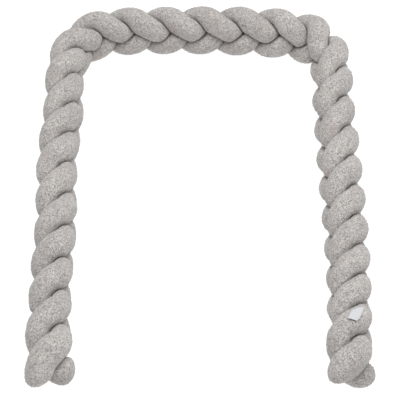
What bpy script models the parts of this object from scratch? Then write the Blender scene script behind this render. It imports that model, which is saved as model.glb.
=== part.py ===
"""A braided crib bumper, laid in a U as round the head of a cot.

Three stuffed fabric tubes are plaited into a flat braid, which stands on its edge: the braid's
narrow side faces up, and its flat faces look into and out of the U. A blank cloth label sits in
the seam between two tubes. Metres, +Z up, +Y towards the closed end of the U, origin on the floor
under the middle of the whole thing.
"""

import math

import bmesh
import bpy
import numpy as np
from mathutils import Matrix, Vector
from mathutils.bvhtree import BVHTree

# Places along the braid are counted in leaves. A leaf is the stretch of a tube that shows on the
# top edge between two seams, and the tubes take turns: tube_a is on top at leaf 0, tube_b at
# leaf 1, tube_c at leaf 2, and so on.
TUBES = ("tube_a", "tube_b", "tube_c")

# How far a tube's middle line swings from the braid's: across to each face, and up and down to
# each edge. The drag slows the swing across where a tube rounds an edge.
SIDE_SWING = 0.0167
SIDE_DRAG = 0.0013
EDGE_SWING = 0.0271
FLOOR_PRESS = 0.003  # how far the floor flattens the tubes that rest on it

# Half sizes of a tube's section, across the braid and along its face, where it rounds an edge and
# where it lies on a face, over the other two.
EDGE_ACROSS = 0.0243
FACE_ACROSS = 0.0198
EDGE_ALONG = 0.0270
FACE_ALONG = 0.0238

SQUARENESS = 2.03  # 2 is an ellipse, and more is a fuller section
CLEARANCE = 0.0008  # between two tubes
PRESS = 14  # how sharply a tube's side turns flat where it meets its neighbour

# The middle line of the braid on the floor, from the left end round to the right end. x and y are
# in metres, lean tips the top edge towards the inside of the U, in degrees, and girth makes the
# braid thicker or thinner. The first and last rows only steer the curve.
ROUTE = (
    # leaf, x, y, lean, girth
    (-2.0, -0.238, -0.587, 12, 1.04),
    (0.0, -0.250, -0.450, 12, 1.05),
    (1.0, -0.256, -0.382, 12, 1.03),
    (3.0, -0.262, -0.235, 6, 1.01),
    (5.0, -0.260, -0.089, 6, 1.02),
    (7.0, -0.265, 0.062, 5, 1.02),
    (9.0, -0.259, 0.213, 3, 1.01),
    (10.0, -0.261, 0.289, 3, 0.99),
    (11.0, -0.246, 0.359, 2, 0.97),
    (12.0, -0.194, 0.406, 0, 0.96),
    (13.0, -0.122, 0.413, 0, 0.95),
    (15.0, 0.021, 0.415, -3, 0.96),
    (17.0, 0.167, 0.405, -8, 0.97),
    (18.0, 0.232, 0.380, -8, 0.98),
    (19.0, 0.260, 0.310, -7, 0.98),
    (20.0, 0.258, 0.230, -6, 0.98),
    (22.0, 0.262, 0.079, -10, 0.99),
    (25.0, 0.266, -0.134, -7, 1.00),
    (27.0, 0.264, -0.267, -4, 1.00),
    (29.0, 0.260, -0.396, -7, 1.01),
    (30.0, 0.257, -0.466, -2, 1.02),
    (32.0, 0.253, -0.609, -2, 1.02),
)

# The two ends of each tube: the leaf where it starts to round off, how far the loose end is pushed
# from where the braid would carry it, in metres, and how thick the tip is. The pushes go towards
# the inside of the U, out past the end of the braid, and up.
ENDS = {
    # leaf, inward, outward, up, girth
    "tube_a": ((0.71, 0.023, -0.001, -0.010, 0.97), (29.16, -0.024, -0.009, -0.012, 0.93)),
    "tube_b": ((0.48, -0.005, 0.010, 0.003, 1.13), (28.69, 0.013, -0.002, 0.004, 1.00)),
    "tube_c": ((1.04, -0.012, -0.002, 0.000, 1.02), (29.18, 0.014, 0.020, 0.004, 1.05)),
}
# For the left and the right end of the braid, in leaves: how far the round ends reach past those
# leaves, and over what length the pushes fade out from the tip.
DOMES = (0.14, 0.27)
PUSH_FADES = (1.74, 2.13)
GIRTH_FADE = 1.0  # leaves over which the girth of a tip fades into the tube's

# The label lies on the second tube, just past the seam where the first one crosses it. Its corners
# are places on that tube's skin, as a leaf and a turn round the tube in degrees, and its far end
# lifts off the skin.
LABEL_TUBE = 1
LABEL_CORNERS = (
    # leaf, turn
    (27.70, 254),
    (27.92, 288),
    (28.11, 283),
    (28.02, 240),
)
LABEL_THICKNESS = 0.0012
LABEL_LIFT = 0.0025
LABEL_STEPS = 6

# Mesh fineness
RINGS_PER_LEAF = 8
RING_POINTS = 12
DOME_RINGS = 3
SLOPE_STEP = 0.01  # leaves to each side of a point between which its direction is measured
SEARCH_LEAVES = 1.4  # how far along the braid a neighbour's middle line is searched, each way
SEARCH_POINTS = 71
THINNEST = 0.001  # share of its girth that a tube keeps at its very tip

# The flat faces of the mesh stand proud of the smooth skin where tubes press hollows into each
# other, so the skins are drawn in, in rounds, until nothing is nearer than the gap. It is measured
# at the corners of each face, and at the middles of its edges and of the face.
GAP = 0.0005
GAP_ROUNDS = 20
GAP_SEARCH = 0.003
GAP_SAMPLES = (
    # shares of the face's three corners
    (1, 0, 0),
    (0, 1, 0),
    (0, 0, 1),
    (1 / 2, 1 / 2, 0),
    (0, 1 / 2, 1 / 2),
    (1 / 2, 0, 1 / 2),
    (1 / 3, 1 / 3, 1 / 3),
)

# Colour, roughness and metallic value of each cloth
BOUCLE = ((0.42, 0.395, 0.38), 0.95, 0.0)
TAPE = ((0.82, 0.82, 0.83), 0.6, 0.0)

UP = np.array([0.0, 0.0, 1.0])


def unit(vectors):
    return vectors / np.linalg.norm(vectors, axis=-1, keepdims=True)


def route_at(leaf):
    """The route's columns at these leaves, on a smooth curve through its rows."""
    table = np.array(ROUTE)
    places, values = table[:, 0], table[:, 1:]
    row = np.clip(np.searchsorted(places, leaf, side="right") - 1, 1, len(places) - 3)
    span = (places[row + 1] - places[row])[:, None]
    start_slope = (values[row + 1] - values[row - 1]) / (places[row + 1] - places[row - 1])[:, None]
    end_slope = (values[row + 2] - values[row]) / (places[row + 2] - places[row])[:, None]
    t = (leaf - places[row])[:, None] / span
    return (
        (2 * t**3 - 3 * t**2 + 1) * values[row]
        + (t**3 - 2 * t**2 + t) * start_slope * span
        + (3 * t**2 - 2 * t**3) * values[row + 1]
        + (t**3 - t**2) * end_slope * span
    )


def turn_of(tube, leaf):
    """How far round the braid a tube is: 0 on the top edge, half a turn on the bottom edge."""
    return 2 * math.pi * (leaf - tube) / len(TUBES)


def full_span(tube):
    """The leaves between which a tube keeps its full girth."""
    return tuple(end[0] for end in ENDS[TUBES[tube]])


def centre_line(tube, leaf):
    """A tube's middle line at these leaves, and the braid's inward direction and girth there."""
    turn = turn_of(tube, leaf)
    route = route_at(leaf)
    forward = unit(route_at(leaf + SLOPE_STEP)[:, :2] - route_at(leaf - SLOPE_STEP)[:, :2])
    level_inward = np.column_stack([forward[:, 1], -forward[:, 0], np.zeros(len(leaf))])
    lean, girth = np.radians(route[:, 2:3]), route[:, 3:4]
    inward = level_inward * np.cos(lean) - UP * np.sin(lean)
    upward = level_inward * np.sin(lean) + UP * np.cos(lean)
    height = EDGE_SWING + EDGE_ALONG - FLOOR_PRESS
    middle = np.column_stack([route[:, :2], np.full(len(leaf), height)])
    aside = inward * (SIDE_SWING * np.sin(2 * turn) - SIDE_DRAG * np.sin(4 * turn))[:, None]
    upright = upward * EDGE_SWING * np.cos(turn)[:, None]
    line = middle + (aside + upright) * girth
    ahead = np.column_stack([forward, np.zeros(len(leaf))])
    ends = zip(ENDS[TUBES[tube]], DOMES, PUSH_FADES, (-1, 1))
    for (end_leaf, in_push, out_push, up_push, tip), dome, push_fade, past in ends:
        before_end = past * (end_leaf - leaf)
        fade = (1 - (before_end + dome) / push_fade).clip(0, 1) ** 2
        push = level_inward * in_push + ahead * past * out_push + UP * up_push
        line = line + push * fade[:, None]
        girth = girth * (1 + (tip - 1) * (1 - before_end / GIRTH_FADE).clip(0, 1))[:, None]
    return line, inward, girth[:, 0]


def room(start, directions, others):
    """How far a side may go along each direction before it meets a neighbour.

    Two tubes that press together meet half-way, so a side stops at the first place that is as
    near to another tube's middle line as to its own, less the clearance.
    """
    away = others - start[:, None]
    towards = np.einsum("nad,nod->nao", directions, away)
    square = (away**2).sum(axis=2)[:, None]
    facing = towards + CLEARANCE > 0
    reach = (square - CLEARANCE**2) / np.where(facing, 2 * (towards + CLEARANCE), 1)
    return np.where(facing, reach, np.inf).min(axis=2)


def neighbours(tube, leaf):
    """Points on the other tubes' middle lines near each of these leaves."""
    window = np.linspace(-SEARCH_LEAVES, SEARCH_LEAVES, SEARCH_POINTS)
    lines = []
    for other in range(len(TUBES)):
        if other == tube:
            continue
        full_from, full_to = full_span(other)
        near = (leaf[:, None] + window).clip(full_from - DOMES[0], full_to + DOMES[1])
        points = centre_line(other, near.ravel())[0]
        lines.append(points.reshape(len(leaf), len(window), 3))
    return np.concatenate(lines, axis=1)


def surface(tube, leaf, angle):
    """A tube's skin: a ring of points, at these angles round its middle line, at each leaf."""
    start, inward, girth = centre_line(tube, leaf)
    ahead, behind = (centre_line(tube, leaf + step)[0] for step in (SLOPE_STEP, -SLOPE_STEP))
    along = unit(ahead - behind)
    across = unit(inward - along * np.sum(inward * along, axis=1, keepdims=True))
    beside = np.cross(along, across)
    full_from, full_to = full_span(tube)
    past_end = np.maximum((full_from - leaf) / DOMES[0], (leaf - full_to) / DOMES[1]).clip(0, 1)
    girth = girth * np.sqrt(1 - past_end**2).clip(THINNEST)
    at_edge = (1 + np.cos(4 * turn_of(tube, leaf))) / 2
    half_across = girth * (FACE_ACROSS + (EDGE_ACROSS - FACE_ACROSS) * at_edge)
    half_beside = girth * (FACE_ALONG + (EDGE_ALONG - FACE_ALONG) * at_edge)
    spoke = (
        (half_across[:, None] * np.cos(angle))[:, :, None] * across[:, None]
        + (half_beside[:, None] * np.sin(angle))[:, :, None] * beside[:, None]
    )
    ellipse = np.linalg.norm(spoke, axis=2)
    direction = spoke / ellipse[:, :, None]
    corner = np.abs(np.cos(angle)) ** SQUARENESS + np.abs(np.sin(angle)) ** SQUARENESS
    free = ellipse / corner ** (1 / SQUARENESS)
    limit = room(start, direction, neighbours(tube, leaf))
    radius = (free**-PRESS + limit**-PRESS) ** (-1 / PRESS)
    skin = start[:, None] + direction * radius[:, :, None]
    skin[:, :, 2] = skin[:, :, 2].clip(0)
    return skin


def tube_skin(tube):
    """The tube's corner points, the point on its middle line that each belongs to, and its faces.

    The rings run from one round end to the other, and the two last points are the tips.
    """
    full_from, full_to = full_span(tube)
    steps = round((full_to - full_from) * RINGS_PER_LEAF)
    dome = np.sin(np.arange(1, DOME_RINGS + 1) * math.pi / 2 / DOME_RINGS)
    full = np.linspace(full_from, full_to, steps + 1)
    leaf = np.concatenate([full_from - DOMES[0] * dome[::-1], full, full_to + DOMES[1] * dome])
    angle = (np.arange(RING_POINTS) + 0.5) * 2 * math.pi / RING_POINTS
    rings = surface(tube, leaf, angle)
    middles = np.repeat(centre_line(tube, leaf[1:-1])[0], RING_POINTS, axis=0)
    tips = rings[[0, -1]].mean(axis=1)
    points = np.concatenate([rings[1:-1].reshape(-1, 3), tips])
    middles = np.concatenate([middles, tips])
    first_tip, last_tip = len(points) - 2, len(points) - 1
    last_ring = first_tip - RING_POINTS
    faces = []
    for i in range(RING_POINTS):
        before = (i - 1) % RING_POINTS
        for ring in range(0, last_ring, RING_POINTS):
            ahead = ring + RING_POINTS
            faces.append((ring + before, ring + i, ahead + i))
            faces.append((ring + before, ahead + i, ahead + before))
        faces.append((first_tip, i, before))
        faces.append((last_tip, last_ring + before, last_ring + i))
    return points, middles, np.array(faces)


def draw_apart(skins):
    """Draws the skins in towards their middle lines, each by half of what the gap is short of."""
    weights = np.array(GAP_SAMPLES)
    share = weights / (weights**2).sum(axis=1, keepdims=True)
    for _ in range(GAP_ROUNDS):
        trees = [BVHTree.FromPolygons(points.tolist(), faces.tolist()) for points, _, faces in skins]
        for (points, middles, faces), own_tree in zip(skins, trees):
            other_trees = [tree for tree in trees if tree is not own_tree]
            shift = np.zeros(len(points))
            for face in faces:
                for sample, part in zip(weights @ points[face], share):
                    for tree in other_trees:
                        spot, normal, _, _ = tree.find_nearest(sample, GAP_SEARCH)
                        if spot is not None:
                            short = GAP - (Vector(sample) - spot).dot(normal)
                            shift[face] = np.maximum(shift[face], part * short / 2)
            towards = middles - points
            reach = np.linalg.norm(towards, axis=1).clip(GAP)
            points += towards * (shift / reach)[:, None]
    return skins


def tube_mesh(name, points, faces):
    mesh = bpy.data.meshes.new(name)
    mesh.from_pydata(points.tolist(), [], faces.tolist())
    mesh.shade_smooth()
    return mesh


def label_point(across, down, above):
    """A point above the tube's skin, at these shares of the label's width and length."""
    near_left, near_right, far_right, far_left = np.array(LABEL_CORNERS, float)
    near = near_left + (near_right - near_left) * across
    far = far_left + (far_right - far_left) * across
    leaf, turn = near + (far - near) * down
    place, angle = np.array([leaf]), np.array([math.radians(turn)])
    skin = surface(LABEL_TUBE, place, angle)[0, 0]
    middle = centre_line(LABEL_TUBE, place)[0][0]
    return skin + unit(skin - middle) * (CLEARANCE + LABEL_LIFT * down**2 + above)


def label_mesh():
    bm = bmesh.new()
    shares = np.linspace(0, 1, LABEL_STEPS + 1)
    sheet = {
        (i, j, above): bm.verts.new(label_point(across, down, above))
        for i, across in enumerate(shares)
        for j, down in enumerate(shares)
        for above in (0, LABEL_THICKNESS)
    }
    for i in range(LABEL_STEPS):
        for j in range(LABEL_STEPS):
            square = ((i, j), (i + 1, j), (i + 1, j + 1), (i, j + 1))
            bm.faces.new([sheet[(*corner, LABEL_THICKNESS)] for corner in square])
            bm.faces.new([sheet[(*corner, 0)] for corner in reversed(square)])
    edge = [edge for edge in bm.edges if edge.is_boundary]
    bmesh.ops.bridge_loops(bm, edges=edge)
    bmesh.ops.recalc_face_normals(bm, faces=bm.faces)
    mesh = bpy.data.meshes.new("label")
    bm.to_mesh(mesh)
    bm.free()
    return mesh


def cloth(name, finish):
    colour, roughness, metallic = finish
    material = bpy.data.materials.new(name)
    material.use_nodes = True
    shader = material.node_tree.nodes["Principled BSDF"]
    shader.inputs["Base Color"].default_value = (*colour, 1)
    shader.inputs["Roughness"].default_value = roughness
    shader.inputs["Metallic"].default_value = metallic
    return material


def main():
    for obj in list(bpy.data.objects):
        bpy.data.objects.remove(obj)
    skins = draw_apart([tube_skin(tube) for tube in range(len(TUBES))])
    meshes = [tube_mesh(name, points, faces) for name, (points, _, faces) in zip(TUBES, skins)]
    meshes.append(label_mesh())
    finishes = [BOUCLE] * len(TUBES) + [TAPE]
    corners = np.array([vertex.co for mesh in meshes for vertex in mesh.vertices])
    middle = (corners.min(axis=0) + corners.max(axis=0)) / 2
    for mesh, finish in zip(meshes, finishes):
        mesh.transform(Matrix.Translation((-middle[0], -middle[1], 0)))
        mesh.materials.append(cloth(mesh.name, finish))
        bpy.context.scene.collection.objects.link(bpy.data.objects.new(mesh.name, mesh))


main()
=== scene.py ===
# %% [markdown]
# # A braided crib bumper
#
# The real thing is three long tubes of soft terry jersey, sewn shut, stuffed with fibre filling
# and plaited into a flat braid. It stands on its edge in a U, as round the head of a cot. A small
# white cloth label is caught in one seam.
#
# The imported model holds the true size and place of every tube, so this script starts from it and
# works on the looks alone: skins that swell with their filling, a fuzzy nap, the mixed grey yarn,
# the label, and a pale studio to see it in.

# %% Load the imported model
import math

import bpy
import numpy as np
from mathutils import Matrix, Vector
from mathutils.bvhtree import BVHTree


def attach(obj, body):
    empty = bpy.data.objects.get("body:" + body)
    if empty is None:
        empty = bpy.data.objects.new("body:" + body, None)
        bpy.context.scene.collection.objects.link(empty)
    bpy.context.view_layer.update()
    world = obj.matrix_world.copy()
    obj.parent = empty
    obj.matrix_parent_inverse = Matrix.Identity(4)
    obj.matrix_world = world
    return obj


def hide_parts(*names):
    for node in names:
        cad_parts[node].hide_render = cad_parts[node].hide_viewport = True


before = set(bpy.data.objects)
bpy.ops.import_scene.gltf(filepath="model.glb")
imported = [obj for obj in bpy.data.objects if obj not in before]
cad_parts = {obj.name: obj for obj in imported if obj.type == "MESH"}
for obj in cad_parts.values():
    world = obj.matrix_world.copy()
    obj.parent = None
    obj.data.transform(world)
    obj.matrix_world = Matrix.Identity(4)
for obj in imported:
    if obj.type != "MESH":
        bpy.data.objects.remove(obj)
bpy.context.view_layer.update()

MM = 0.001
WHITE = (1, 1, 1, 1)
TUBES = ("tube_a", "tube_b", "tube_c")
scene = bpy.context.scene
print("CAD nodes:", ", ".join(sorted(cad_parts)))

# %% [markdown]
# ## The camera
#
# The photograph looks down on the braid at a steep angle from well back, with a long lens, so the
# two arms hardly spread. A camera at 50 degrees above the floor and 3.3 m away does the same. A
# closer camera with a wide lens would fill the frame too, but the near ends would look too big.

# %% Place the camera
CAMERA_AIM = Vector((0.0017, -0.0295, 0.055))
CAMERA_HEIGHT_ANGLE = math.radians(50)
CAMERA_DISTANCE = 3.303
LENS_MM = 162
SENSOR_MM = 36

camera_back = Vector((0, -math.cos(CAMERA_HEIGHT_ANGLE), math.sin(CAMERA_HEIGHT_ANGLE)))
bpy.ops.object.camera_add(
    location=CAMERA_AIM + camera_back * CAMERA_DISTANCE,
    rotation=(math.pi / 2 - CAMERA_HEIGHT_ANGLE, 0, 0),
)
camera = bpy.context.object
camera.name = "camera"
camera.data.lens = LENS_MM
camera.data.sensor_width = SENSOR_MM
camera.data.dof.use_dof = False
scene.camera = camera
print("Camera at", [round(value, 3) for value in camera.location])

# %% [markdown]
# ## Building shaders in code
#
# Every material here is a tree of nodes. The first helper adds one node, sets its options and
# fills its inputs. An input that is given a socket is linked to it, and one that is given a number
# or a colour just keeps it. That keeps each material short enough to read as a recipe. What two
# materials share goes in a node group, and the other two helpers make a group and place it.

# %% Helpers for nodes
NODE_SPACING = 220
GROUP_END_COLUMN = 5


def add_node(tree, kind, place, inputs=None, **options):
    """Adds a shader node at a column and row of the tree, with its options and inputs."""
    made = tree.nodes.new("ShaderNode" + kind)
    made.location = (place[0] * NODE_SPACING, -place[1] * NODE_SPACING)
    for name, value in options.items():
        setattr(made, name, value)
    for name, value in (inputs or {}).items():
        if isinstance(value, bpy.types.NodeSocket):
            tree.links.new(value, made.inputs[name])
        else:
            made.inputs[name].default_value = value
    return made


def new_group(name, inputs, outputs):
    """An empty node group with these sockets, and its two end nodes."""
    tree = bpy.data.node_groups.new(name, "ShaderNodeTree")
    for socket_name, (kind, value) in inputs.items():
        socket = tree.interface.new_socket(
            socket_name, in_out="INPUT", socket_type="NodeSocket" + kind
        )
        if value is not None:
            socket.default_value = value
    for socket_name, kind in outputs.items():
        tree.interface.new_socket(socket_name, in_out="OUTPUT", socket_type="NodeSocket" + kind)
    start = tree.nodes.new("NodeGroupInput")
    end = tree.nodes.new("NodeGroupOutput")
    start.location = (-GROUP_END_COLUMN * NODE_SPACING, 0)
    end.location = (GROUP_END_COLUMN * NODE_SPACING, 0)
    return tree, start.outputs, end.inputs


def add_group(tree, group, place, inputs):
    """Places a node group in a material, with its own values."""
    return add_node(tree, "Group", place, node_tree=group, inputs=inputs)

# %% [markdown]
# ## The floor and the light
#
# The bumper lies on a plain white sweep in very soft light. A floor that is lit only by lamps
# would turn grey away from them and take a heavy shadow, so most of its brightness is its own,
# and it throws light back on the sides of the braid. The pale world lights the cloth from
# everywhere. A large lamp, overhead and a little to the right, makes the tops of the tubes bright
# and leaves the sides that face left a little darker.

# %% Lay the floor
FLOOR_SIZE = 40
FLOOR_WHITE = (0.2, 0.2, 0.2, 1)
FLOOR_GLOW = 0.98
FLOOR_ROUGHNESS = 0.9

bpy.ops.object.select_all(action="DESELECT")
bpy.ops.mesh.primitive_plane_add(size=FLOOR_SIZE, location=(0, 0, 0))
floor = bpy.context.object
floor.name = "floor"
floor_paint = bpy.data.materials.new("white floor")
floor_paint.use_nodes = True
floor_shader = floor_paint.node_tree.nodes["Principled BSDF"]
floor_shader.inputs["Base Color"].default_value = FLOOR_WHITE
floor_shader.inputs["Roughness"].default_value = FLOOR_ROUGHNESS
floor_shader.inputs["Emission Color"].default_value = WHITE
floor_shader.inputs["Emission Strength"].default_value = FLOOR_GLOW
floor.data.materials.append(floor_paint)
print("Floor laid,", FLOOR_SIZE, "m across")

# %% Light the studio
WORLD_STRENGTH = 0.54
LAMP_PLACE = Vector((0.3, 0.0, 2.3))
LAMP_SIZE = 2.5
LAMP_WATTS = 58

scene.world = bpy.data.worlds.new("pale studio")
scene.world.use_nodes = True
studio_sky = scene.world.node_tree.nodes["Background"]
studio_sky.inputs["Color"].default_value = WHITE
studio_sky.inputs["Strength"].default_value = WORLD_STRENGTH

bpy.ops.object.light_add(type="AREA", location=LAMP_PLACE)
lamp = bpy.context.object
lamp.name = "softbox"
lamp.data.shape = "DISK"
lamp.data.size = LAMP_SIZE
lamp.data.energy = LAMP_WATTS
lamp.rotation_euler = (-LAMP_PLACE).to_track_quat("-Z", "Y").to_euler()
scene.view_settings.view_transform = "Standard"
print("One lamp of", LAMP_WATTS, "W and a world of strength", WORLD_STRENGTH)

# %% [markdown]
# ## Heathered yarn
#
# The yarn is spun from pale and dark grey fibres, so each loop of the terry has its own shade,
# one in nine is darker, and here and there the grey turns a little pink. An image could show
# that, but a Voronoi texture cuts space into cells of one size, without edges or seams, and gives
# each cell its own random colour. Its channels serve as dice: one picks the shade of a loop and
# one picks the dark ones. It reads Object coordinates, which are metres here, so a size in metres
# turns straight into a scale. Two broad noises add the pink patches and a slow drift of the shade.

# %% Build the yarn colour
DARK_SHARE = 0.11
NOISE_ROUGHNESS = 0.6
PATCHES_A_METRE = 22
PATCH_DETAIL = 1
PATCH_START, PATCH_FULL = 0.55, 0.75
PATCH_STRENGTH = 0.35
DRIFTS_A_METRE = 9
DRIFT_DETAIL = 2
DRIFT_LOW, DRIFT_HIGH = 0.3, 0.7
DRIFT_DARKEST, DRIFT_PALEST = 0.92, 1.06


def build_yarn_group():
    tree, given, result = new_group(
        "heathered yarn",
        {
            "Position": ("Vector", None),
            "Pale": ("Color", (0.6, 0.6, 0.6, 1)),
            "Middle": ("Color", (0.4, 0.4, 0.4, 1)),
            "Dark": ("Color", (0.2, 0.2, 0.2, 1)),
            "Blush": ("Color", (0.4, 0.3, 0.3, 1)),
            "Speck Size": ("Float", 0.003),
        },
        {"Color": "Color"},
    )
    scale = add_node(
        tree, "Math", (-4, 0), {0: 1.0, 1: given["Speck Size"]}, operation="DIVIDE"
    ).outputs[0]
    cells = add_node(
        tree, "TexVoronoi", (-3, 0), {"Vector": given["Position"], "Scale": scale}
    ).outputs["Color"]
    chance = add_node(tree, "SeparateColor", (-2, 0), {"Color": cells}).outputs

    def noise(row, noise_scale, detail):
        return add_node(
            tree, "TexNoise", (-2, row),
            {
                "Vector": given["Position"], "Scale": noise_scale, "Detail": detail,
                "Roughness": NOISE_ROUGHNESS,
            },
        ).outputs["Fac"]

    def stretched(row, value, low, high, to_low=0.0, to_high=1.0):
        return add_node(
            tree, "MapRange", (-1, row),
            {
                "Value": value, "From Min": low, "From Max": high,
                "To Min": to_low, "To Max": to_high,
            },
        ).outputs["Result"]

    def mixed(column, factor, first, second):
        made = add_node(tree, "Mix", (column, 0), data_type="RGBA")
        factor_socket = made.inputs[0]
        first_socket, second_socket = made.inputs[6:8]
        tree.links.new(factor, factor_socket)
        tree.links.new(first, first_socket)
        tree.links.new(second, second_socket)
        return made.outputs[2]

    dark_loops = stretched(1, chance["Green"], 1 - DARK_SHARE, 1)
    patches = stretched(
        2, noise(2, PATCHES_A_METRE, PATCH_DETAIL), PATCH_START, PATCH_FULL, 0, PATCH_STRENGTH
    )
    drift = stretched(
        3, noise(3, DRIFTS_A_METRE, DRIFT_DETAIL), DRIFT_LOW, DRIFT_HIGH,
        DRIFT_DARKEST, DRIFT_PALEST,
    )
    colour = mixed(0, chance["Red"], given["Middle"], given["Pale"])
    colour = mixed(1, dark_loops, colour, given["Dark"])
    colour = mixed(2, patches, colour, given["Blush"])
    shaded = add_node(tree, "VectorMath", (3, 0), {0: colour}, operation="SCALE")
    tree.links.new(drift, shaded.inputs["Scale"])
    tree.links.new(shaded.outputs[0], result["Color"])
    return tree


yarn_group = build_yarn_group()
print("Yarn group has", len(yarn_group.nodes), "nodes")

# %% [markdown]
# ## The feel of the cloth
#
# Light catches each little loop of the terry. Loops that are smaller than the mesh can show are
# left to bump: rounded cells of the size of a loop, with a noise of the size of a single fibre
# added to them. The woven tape of the label uses the same group with finer values.

# %% Build the loop relief
FIBRES_A_LOOP = 3.0
FIBRE_DETAIL = 2.0


def build_loop_group():
    tree, given, result = new_group(
        "loop relief",
        {
            "Position": ("Vector", None),
            "Loop Size": ("Float", 0.0015),
            "Fibre Share": ("Float", 0.35),
        },
        {"Height": "Float"},
    )
    scale = add_node(
        tree, "Math", (-3, 0), {0: 1.0, 1: given["Loop Size"]}, operation="DIVIDE"
    ).outputs[0]
    fibre_scale = add_node(
        tree, "Math", (-3, 1), {0: scale, 1: FIBRES_A_LOOP}, operation="MULTIPLY"
    ).outputs[0]
    loops = add_node(
        tree, "TexVoronoi", (-2, 0), {"Vector": given["Position"], "Scale": scale},
        feature="SMOOTH_F1",
    ).outputs["Distance"]
    fibres = add_node(
        tree, "TexNoise", (-2, 1),
        {"Vector": given["Position"], "Scale": fibre_scale, "Detail": FIBRE_DETAIL},
    ).outputs["Fac"]
    rounded = add_node(tree, "Math", (-1, 0), {0: 1.0, 1: loops}, operation="SUBTRACT").outputs[0]
    added = add_node(
        tree, "Math", (0, 0), {0: fibres, 1: given["Fibre Share"], 2: rounded},
        operation="MULTIPLY_ADD",
    ).outputs[0]
    tree.links.new(added, result["Height"])
    return tree


loop_group = build_loop_group()
print("Loop group has", len(loop_group.nodes), "nodes")

# %% [markdown]
# ## The terry jersey
#
# Down between the loops less light comes back, so the colour gets a painted shade where the nap is
# low. The mesh of each tube stores how far its nap stands out, less a painted shade in the seams,
# in an attribute that the material reads. A little sheen stands for the haze of fibre ends, which
# glows at the rim.

# %% Make the jersey material
PALE_YARN = (0.77, 0.73, 0.70, 1)
MIDDLE_YARN = (0.26, 0.244, 0.233, 1)
DARK_YARN = (0.14, 0.13, 0.122, 1)
BLUSH_YARN = (0.46, 0.375, 0.36, 1)
# Painted shade: the stored nap value is stretched from the darkest to the palest factor of the yarn
# colour.
NAP_LOWEST = -0.1
NAP_HIGHEST = 0.8
NAP_DARKEST = 0.15
NAP_PALEST = 1.1
YARN_SPECK = 1.3 * MM
YARN_LOOP = 1.6 * MM
YARN_FIBRE_SHARE = 0.4
YARN_BUMP = 0.8
YARN_BUMP_DEPTH = 0.6 * MM
JERSEY_SURFACE = {
    "Roughness": 0.95, "Specular IOR Level": 0.15, "Sheen Weight": 0.25, "Sheen Roughness": 0.6,
}


def make_jersey():
    material = bpy.data.materials.new("heathered terry jersey")
    material.use_nodes = True
    tree = material.node_tree
    shader = tree.nodes["Principled BSDF"]
    position = add_node(tree, "TexCoord", (-6, 0)).outputs["Object"]
    colour = add_group(
        tree, yarn_group, (-4, 0),
        {
            "Position": position, "Pale": PALE_YARN, "Middle": MIDDLE_YARN, "Dark": DARK_YARN,
            "Blush": BLUSH_YARN, "Speck Size": YARN_SPECK,
        },
    ).outputs["Color"]
    # Painted shade: this attribute darkens the yarn where the nap sinks and in the seams.
    nap_and_seam_shade = add_node(tree, "Attribute", (-4, 1), attribute_name="nap_and_seam_shade").outputs["Fac"]
    depth = add_node(
        tree, "MapRange", (-3, 1),
        {
            "Value": nap_and_seam_shade, "From Min": NAP_LOWEST, "From Max": NAP_HIGHEST,
            "To Min": NAP_DARKEST, "To Max": NAP_PALEST,
        },
    ).outputs["Result"]
    shaded = add_node(tree, "VectorMath", (-2, 0), {0: colour}, operation="SCALE")
    tree.links.new(depth, shaded.inputs["Scale"])
    tree.links.new(shaded.outputs[0], shader.inputs["Base Color"])
    relief = add_group(
        tree, loop_group, (-4, 2),
        {"Position": position, "Loop Size": YARN_LOOP, "Fibre Share": YARN_FIBRE_SHARE},
    ).outputs["Height"]
    bump = add_node(
        tree, "Bump", (-2, 2),
        {"Height": relief, "Strength": YARN_BUMP, "Distance": YARN_BUMP_DEPTH},
    )
    tree.links.new(bump.outputs["Normal"], shader.inputs["Normal"])
    for name, value in JERSEY_SURFACE.items():
        shader.inputs[name].default_value = value
    return material


jersey = make_jersey()
print("Jersey material has", len(jersey.node_tree.nodes), "nodes")

# %% [markdown]
# ## Working on one piece at a time
#
# Blender's operators act on everything that is selected. These helpers select one piece alone,
# apply its modifiers, copy a solid with its doubled corners welded, and read and write the places
# of the corners as one array, which is much quicker than a loop over them.

# %% Helpers for meshes
WELD = 0.01 * MM


def select_only(piece):
    bpy.ops.object.select_all(action="DESELECT")
    piece.select_set(True)
    bpy.context.view_layer.objects.active = piece


def apply_modifiers(piece):
    select_only(piece)
    for name in [modifier.name for modifier in piece.modifiers]:
        bpy.ops.object.modifier_apply(modifier=name)


def copy_of_solid(node_name, new_name):
    """A copy of a CAD node without its paint, its doubled corners welded."""
    copy = bpy.data.objects.new(new_name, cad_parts[node_name].data.copy())
    scene.collection.objects.link(copy)
    copy.data.materials.clear()
    select_only(copy)
    bpy.ops.object.mode_set(mode="EDIT")
    bpy.ops.mesh.select_all(action="SELECT")
    bpy.ops.mesh.remove_doubles(threshold=WELD)
    bpy.ops.mesh.select_all(action="DESELECT")
    bpy.ops.object.mode_set(mode="OBJECT")
    return copy


def corners_of(piece):
    places = np.empty(len(piece.data.vertices) * 3)
    piece.data.vertices.foreach_get("co", places)
    return places.reshape(-1, 3)


def move_corners(piece, places):
    piece.data.vertices.foreach_set("co", places.ravel())
    piece.data.update()


def normals_of(piece):
    normals = np.empty(len(piece.data.vertices) * 3)
    piece.data.vertex_normals.foreach_get("vector", normals)
    return normals.reshape(-1, 3)


def count_triangles(piece):
    piece.data.calc_loop_triangles()
    return len(piece.data.loop_triangles)

# %% [markdown]
# ## The skins of the tubes
#
# The solids are made of flat faces, which stuffed cloth never shows. A voxel remesh covers each
# one with even small squares, and a few rounds of smoothing wear the edges down. The squares
# matter: cloth bends evenly only if its mesh is even.

# %% Cover each tube with an even skin
VOXEL = 5.4 * MM
SMOOTHING_ROUNDS = 4
SMOOTHING_FACTOR = 0.5


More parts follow.
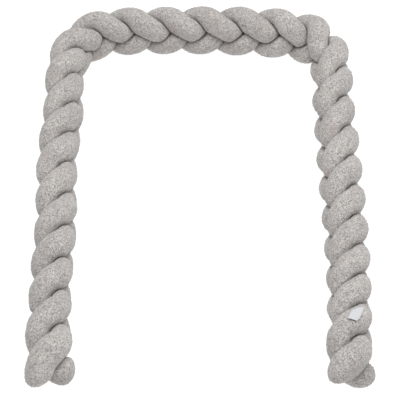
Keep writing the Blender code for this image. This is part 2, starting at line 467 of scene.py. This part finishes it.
def make_skin(node_name):
    skin = copy_of_solid(node_name, "braid_" + node_name)
    remesh = skin.modifiers.new("Even squares", "REMESH")
    remesh.mode = "VOXEL"
    remesh.voxel_size = VOXEL
    smooth = skin.modifiers.new("Worn edges", "SMOOTH")
    smooth.factor = SMOOTHING_FACTOR
    smooth.iterations = SMOOTHING_ROUNDS
    apply_modifiers(skin)
    return skin


skins = {name: make_skin(name) for name in TUBES}
for name, skin in skins.items():
    print(skin.name, "has", len(skin.data.polygons), "squares")

# %% [markdown]
# ## Room between the tubes
#
# The tubes press on each other, so a skin may swell freely where it is in the open but not where
# a neighbour lies against it. The distance from each corner to the nearest neighbour says how much
# room it has. A tree of all the neighbour's faces finds that distance quickly.

# %% Measure the room at each corner
FAR = 20 * MM
TOUCHING = 3 * MM


def room_of(name):
    """How far each corner of a tube's skin is from the skins of the other two."""
    graph = bpy.context.evaluated_depsgraph_get()
    trees = [BVHTree.FromObject(skins[other], graph) for other in TUBES if other != name]
    room = np.full(len(skins[name].data.vertices), FAR)
    for index, place in enumerate(corners_of(skins[name])):
        for tree in trees:
            spot, normal, _, distance = tree.find_nearest(place, FAR)
            if spot is not None:
                outside = (Vector(place) - spot).dot(normal) > 0
                room[index] = min(room[index], distance if outside else 0.0)
    return room


rooms = {name: room_of(name) for name in TUBES}
for name, room in rooms.items():
    print(name, "touches a neighbour over", round(100 * np.mean(room < TOUCHING)), "% of its skin")

# %% [markdown]
# ## The filling
#
# Stuffing pushes the cloth out from inside, which is what Blender's Cloth does with pressure and no
# gravity. Twenty frames are enough for the skin to round itself. Terry is also thick: its pile
# stands out of the sewn shape that the solids show, and it fills the small hollows between tubes.
# So each corner moves outward too, a little in the open and more beside a neighbour. It never
# takes more than about a quarter of the room that it has, which leaves the seams open and dark,
# and no corner goes under the floor.

# %% Swell the skins
FILLING_PRESSURE = 4
FRAMES = 20
SWELL_CAP = 1.5 * MM
PILE_IN_THE_OPEN = 1.9 * MM
PILE_IN_A_HOLLOW = 3.4 * MM
HOLLOW_ROOM = 12 * MM
ROOM_SHARE = 0.27
HARDLY_MOVED = 0.001 * MM


def swell(skin, room):
    start = corners_of(skin)
    cloth = skin.modifiers.new("Filling", "CLOTH")
    cloth.settings.use_pressure = True
    cloth.settings.uniform_pressure_force = FILLING_PRESSURE
    cloth.settings.effector_weights.gravity = 0
    for moment in range(1, FRAMES + 1):
        scene.frame_set(moment)
    apply_modifiers(skin)
    scene.frame_set(1)
    filled = corners_of(skin) - start
    distance = np.linalg.norm(filled, axis=1, keepdims=True).clip(HARDLY_MOVED)
    filled *= np.minimum(distance, SWELL_CAP) / distance
    hollow = np.clip(1 - room / HOLLOW_ROOM, 0, 1)[:, None]
    pile = PILE_IN_THE_OPEN + (PILE_IN_A_HOLLOW - PILE_IN_THE_OPEN) * hollow
    moved = filled + normals_of(skin) * pile
    far = np.linalg.norm(moved, axis=1, keepdims=True)
    ended = start + moved * np.minimum(1, ROOM_SHARE * room[:, None] / far)
    ended[:, 2] = ended[:, 2].clip(0)
    move_corners(skin, ended)
    return distance


for name in TUBES:
    swelling = swell(skins[name], rooms[name])
    print(name, "is filled out by", round(np.mean(swelling) / MM, 2), "mm before the pile is added")

# %% [markdown]
# ## Lumps and nap
#
# Filling is never quite even, and terry is never flat. One broad noise gives the tubes soft
# lumps, and one fine noise gives the nap, after the mesh is divided once more to carry it. Both
# fade out where a neighbour presses, because cloth is flattened there. The colour gets a painted
# shade where the nap sinks, and a darker painted shade in the seams, where the pile of both tubes
# meets and keeps the light out.

# %% Raise the nap
LUMP_SIZE = 28 * MM
LUMP_HEIGHT = 0.9 * MM
NAP_SIZE = 3.4 * MM
NAP_HEIGHT = 0.6 * MM
NAP_SHADE = 0.2
NAP_MIDDLE = 0.5
# Painted shade in the seams between the tubes: full where the room is under SEAM_BOTTOM, none past
# SEAM_REACH.
SEAM_BOTTOM = 1.2 * MM
SEAM_REACH = 4.0 * MM
SEAM_SHADE = 0.9
FREE_ROOM = 4.0 * MM
TEXTURE_MIDDLE = 0.5
FREE_GROUP = "free of neighbours"
SEAM_SHADE_ATTRIBUTE = "painted_seam_shade"


def noise_texture(name, size, depth):
    texture = bpy.data.textures.new(name, "CLOUDS")
    texture.noise_scale = size
    texture.noise_depth = depth
    return texture


lump_texture = noise_texture("lumps in the filling", LUMP_SIZE, 1)
nap_texture = noise_texture("terry nap", NAP_SIZE, 1)


def displace(skin, texture, height, group):
    modifier = skin.modifiers.new(texture.name, "DISPLACE")
    modifier.texture = texture
    modifier.texture_coords = "LOCAL"
    modifier.strength = height
    modifier.mid_level = TEXTURE_MIDDLE
    modifier.vertex_group = group
    apply_modifiers(skin)


def seam_shade(room):
    """How much painted shade a seam gets: full at its bottom, and quickly less outside it."""
    return SEAM_SHADE * np.clip((SEAM_REACH - room) / (SEAM_REACH - SEAM_BOTTOM), 0, 1) ** 2


def raise_nap(skin, room):
    free = skin.vertex_groups.new(name=FREE_GROUP)
    for index, weight in enumerate(np.clip(room / FREE_ROOM, 0, 1)):
        free.add([index], weight, "REPLACE")
    # The painted seam shade, kept in an attribute so that it follows the subdivision.
    painted_seam_shade = skin.data.attributes.new(SEAM_SHADE_ATTRIBUTE, "FLOAT", "POINT")
    painted_seam_shade.data.foreach_set("value", seam_shade(room))
    finer = skin.modifiers.new("Finer", "SUBSURF")
    finer.levels = 1
    finer.render_levels = 1
    apply_modifiers(skin)
    displace(skin, lump_texture, LUMP_HEIGHT, FREE_GROUP)
    before, outward = corners_of(skin), normals_of(skin)
    displace(skin, nap_texture, NAP_HEIGHT, FREE_GROUP)
    after = corners_of(skin)
    rise = np.sum((after - before) * outward, axis=1)
    shade = np.empty(len(rise))
    skin.data.attributes[SEAM_SHADE_ATTRIBUTE].data.foreach_get("value", shade)
    skin.data.attributes.remove(skin.data.attributes[SEAM_SHADE_ATTRIBUTE])
    # The colour's painted shade: lower where the nap sinks, and lower still by the seam shade.
    nap_and_seam_shade = skin.data.attributes.new("nap_and_seam_shade", "FLOAT", "POINT")
    nap_and_seam_shade.data.foreach_set("value", NAP_MIDDLE + NAP_SHADE * rise / NAP_HEIGHT - shade)
    after[:, 2] = after[:, 2].clip(0)
    move_corners(skin, after)
    skin.data.shade_smooth()
    return rise


for name in TUBES:
    rise = raise_nap(skins[name], rooms[name])
    skins[name].data.materials.append(jersey)
    print(name, "has", count_triangles(skins[name]), "triangles, nap from",
          round(rise.min() / MM, 2), "to", round(rise.max() / MM, 2), "mm")

# %% [markdown]
# ## Fibre ends
#
# Terry is brushed, so short bent fibres stand out of it and blur its outline. Tens of thousands of
# separate objects would be far too heavy. Each fibre here is only a bent strip of a quad and a
# triangle, and all the fibres of a tube are built at once as arrays and joined in one mesh. A
# fibre is shorter where a neighbour leaves it little room. There are none in the bottom of a seam
# or near the floor. Each takes a tone at random, as if its nap were high or low, and near a seam
# the same painted shade as the skin.

# %% Comb out the fibre ends
FIBRES_PER_TUBE = 60000
FIBRE_LENGTH = 2.4 * MM
FIBRE_WIDTH = 0.4 * MM
UNEVENNESS = 0.4
SPACE_SHARE = 0.8
SHORTEST_FIBRE = 1.3 * MM
FLOOR_CLEARANCE = 3 * MM
#        along the skin, out of it (in fibre lengths), half width (in fibre widths)
FIBRE_BEND = ((0.0, -0.1, 0.5), (0.2, 0.55, 0.35), (0.62, 0.85, 0.0))


def unit(vectors):
    return vectors / np.linalg.norm(vectors, axis=1, keepdims=True)


def comb_fibres(name, seed):
    skin = skins[name]
    random = np.random.default_rng(seed)
    skin.data.calc_loop_triangles()
    triangles = np.empty(len(skin.data.loop_triangles) * 3, dtype=int)
    skin.data.loop_triangles.foreach_get("vertices", triangles)
    corners = corners_of(skin)[triangles.reshape(-1, 3)]
    outward = np.cross(corners[:, 1] - corners[:, 0], corners[:, 2] - corners[:, 0])
    area = np.linalg.norm(outward, axis=1)
    chosen = random.choice(len(area), FIBRES_PER_TUBE, p=area / area.sum())
    share = random.dirichlet((1, 1, 1), FIBRES_PER_TUBE)
    root = np.einsum("nc,ncd->nd", share, corners[chosen])
    outward = unit(outward[chosen])

    length = FIBRE_LENGTH * random.uniform(1 - UNEVENNESS, 1.0, FIBRES_PER_TUBE)
    space = np.full(FIBRES_PER_TUBE, FAR)
    graph = bpy.context.evaluated_depsgraph_get()
    for other in TUBES:
        if other != name:
            tree = BVHTree.FromObject(skins[other], graph)
            nearest = [tree.find_nearest(place, FAR)[3] or FAR for place in root]
            space = np.minimum(space, nearest)
    length = np.minimum(length, SPACE_SHARE * space)
    kept = (length > SHORTEST_FIBRE) & (root[:, 2] > FLOOR_CLEARANCE)
    root, outward, length, space = root[kept], outward[kept], length[kept], space[kept]

    along = unit(np.cross(outward, random.normal(size=root.shape)))
    beside = np.cross(outward, along)
    rows = []
    for shift, rise, half_width in FIBRE_BEND:
        middle = root + (along * shift + outward * rise) * length[:, None]
        sides = (-1, 1) if half_width else (0,)
        rows += [middle + beside * side * half_width * FIBRE_WIDTH for side in sides]
    places = np.stack(rows, axis=1)
    first = np.arange(len(root))[:, None] * places.shape[1]
    mesh = bpy.data.meshes.new("fuzz_" + name)
    strips = (first + np.array([0, 1, 3, 2])).tolist() + (first + np.array([2, 3, 4])).tolist()
    mesh.from_pydata(places.reshape(-1, 3).tolist(), [], strips)
    nap_and_seam_shade = mesh.attributes.new("nap_and_seam_shade", "FLOAT", "POINT")
    # A random tone for each fibre, less the painted shade of the seams.
    fibre_tone_and_seam_shade = random.uniform(0, 1, len(root)) - seam_shade(space)
    nap_and_seam_shade.data.foreach_set("value", np.repeat(fibre_tone_and_seam_shade, places.shape[1]))
    fuzz = bpy.data.objects.new(mesh.name, mesh)
    scene.collection.objects.link(fuzz)
    return fuzz


fuzz = {name: comb_fibres(name, seed) for seed, name in enumerate(TUBES)}
for name in TUBES:
    fuzz[name].data.materials.append(jersey)
    print(fuzz[name].name, "has", count_triangles(fuzz[name]), "triangles")

# %% [markdown]
# ## Putting the tubes in place of their solids
#
# Each skin and its fibre ends hang from the root body, and the solid that the skin replaces is
# hidden. The fibre ends wear the same material as the cloth that they grow from, and replace no
# solid of their own.

for name in TUBES:
    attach(skins[name], "root")
    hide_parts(name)
    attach(fuzz[name], "root")
print("Tubes declared:", len(skins))

# %% [markdown]
# ## The label
#
# The label is a piece of smooth white woven tape. It is copied from its solid, which has the true
# place and bend, and only its upper side is kept. Solidify gives it the thickness of tape again,
# a bevel rounds its cut edges, and one subdivision smooths its bend.

# %% Cut the label
TAPE_THICKNESS = 0.6 * MM
TAPE_EDGE = 0.2 * MM
UPPER_SIDE_SLOPE = 0.3


def make_label():
    label = copy_of_solid("label", "sewn_label")
    for face in label.data.polygons:
        face.select = face.normal.z < UPPER_SIDE_SLOPE
    bpy.ops.object.mode_set(mode="EDIT")
    bpy.ops.mesh.delete(type="FACE")
    bpy.ops.mesh.select_all(action="SELECT")
    bpy.ops.mesh.tris_convert_to_quads()
    bpy.ops.object.mode_set(mode="OBJECT")
    return label


label = make_label()
print("Label cloth has", len(label.data.polygons), "faces")

# %% Finish the label
PALE_TAPE = (0.53, 0.54, 0.56, 1)
MIDDLE_TAPE = (0.46, 0.47, 0.49, 1)
DARK_TAPE = (0.38, 0.39, 0.41, 1)
BLUSH_TAPE = (0.48, 0.49, 0.51, 1)
TAPE_SPECK = 0.8 * MM
TAPE_LOOP = 0.5 * MM
TAPE_FIBRE_SHARE = 0.2
TAPE_BUMP = 0.4
TAPE_BUMP_DEPTH = 0.15 * MM
TAPE_ROUGHNESS = 0.55


def make_tape():
    material = bpy.data.materials.new("white woven tape")
    material.use_nodes = True
    tree = material.node_tree
    shader = tree.nodes["Principled BSDF"]
    position = add_node(tree, "TexCoord", (-6, 0)).outputs["Object"]
    colour = add_group(
        tree, yarn_group, (-4, 0),
        {
            "Position": position, "Pale": PALE_TAPE, "Middle": MIDDLE_TAPE, "Dark": DARK_TAPE,
            "Blush": BLUSH_TAPE, "Speck Size": TAPE_SPECK,
        },
    ).outputs["Color"]
    tree.links.new(colour, shader.inputs["Base Color"])
    relief = add_group(
        tree, loop_group, (-4, 2),
        {"Position": position, "Loop Size": TAPE_LOOP, "Fibre Share": TAPE_FIBRE_SHARE},
    ).outputs["Height"]
    bump = add_node(
        tree, "Bump", (-2, 2),
        {"Height": relief, "Strength": TAPE_BUMP, "Distance": TAPE_BUMP_DEPTH},
    )
    tree.links.new(bump.outputs["Normal"], shader.inputs["Normal"])
    shader.inputs["Roughness"].default_value = TAPE_ROUGHNESS
    return material


thickness = label.modifiers.new("Tape thickness", "SOLIDIFY")
thickness.thickness = TAPE_THICKNESS
thickness.offset = -1
soft_edge = label.modifiers.new("Cut edge", "BEVEL")
soft_edge.width = TAPE_EDGE
soft_edge.segments = 2
finer = label.modifiers.new("Finer", "SUBSURF")
finer.levels = 1
finer.render_levels = 1
apply_modifiers(label)
label.data.shade_smooth()
label.data.materials.append(make_tape())
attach(label, "root")
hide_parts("label")
print("Label has", count_triangles(label), "triangles")
